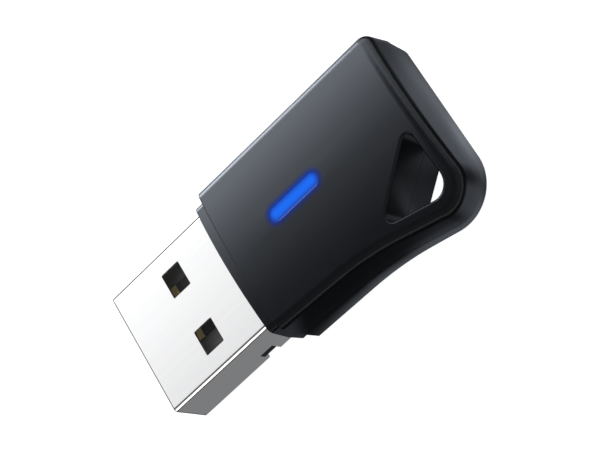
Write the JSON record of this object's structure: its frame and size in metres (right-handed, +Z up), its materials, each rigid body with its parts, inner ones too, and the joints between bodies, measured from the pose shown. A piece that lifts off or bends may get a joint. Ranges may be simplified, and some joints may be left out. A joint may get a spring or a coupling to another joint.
{
  "type": "usb wireless adapter",
  "caption": "Short plug-in wireless adapter: a metal plug, a black two-shell housing with a blue status light on top and a lanyard hole in one rear corner.",
  "frame": {"origin": "centre of the plug shell's front opening", "axes": "+X from the plug's mouth to the housing's far end, +Y to the left of the housing, +Z up through the face with the light"},
  "size_m": [0.0324, 0.0172, 0.0067],
  "materials": {
    "upper_housing": "smooth moulded, semi gloss",
    "lower_housing": "smooth moulded, semi gloss",
    "light": "clear, lit blue from below",
    "plug_metal": "bright nickel plate",
    "insulator": "moulded",
    "contact_gold": "gold plate",
    "board": "solder mask",
    "board_gold": "gold plate on copper",
    "chip_black": "moulded epoxy",
    "can_metal": "satin",
    "lamp": "clear",
    "capacitor_tan": "fired",
    "ferrite": "fired",
    "solder": "bright"
  },
  "bodies": {
    "root": {"top_cover": "upper_housing", "bottom_cover": "lower_housing", "light_guide": "light", "plug_shell": "plug_metal", "plug_insulator": "insulator", "contact_power": "contact_gold", "contact_data_minus": "contact_gold", "contact_data_plus": "contact_gold", "contact_ground": "contact_gold", "circuit_board": "board", "contact_pads": "board_gold", "antenna_trace": "board_gold", "radio_chip": "chip_black", "memory_chip": "chip_black", "voltage_regulator": "chip_black", "surge_protector": "chip_black", "crystal": "can_metal", "status_led": "lamp", "capacitors": "capacitor_tan", "resistors": "chip_black", "inductor": "ferrite", "solder_joints": "solder"}
  },
  "joints": []
}
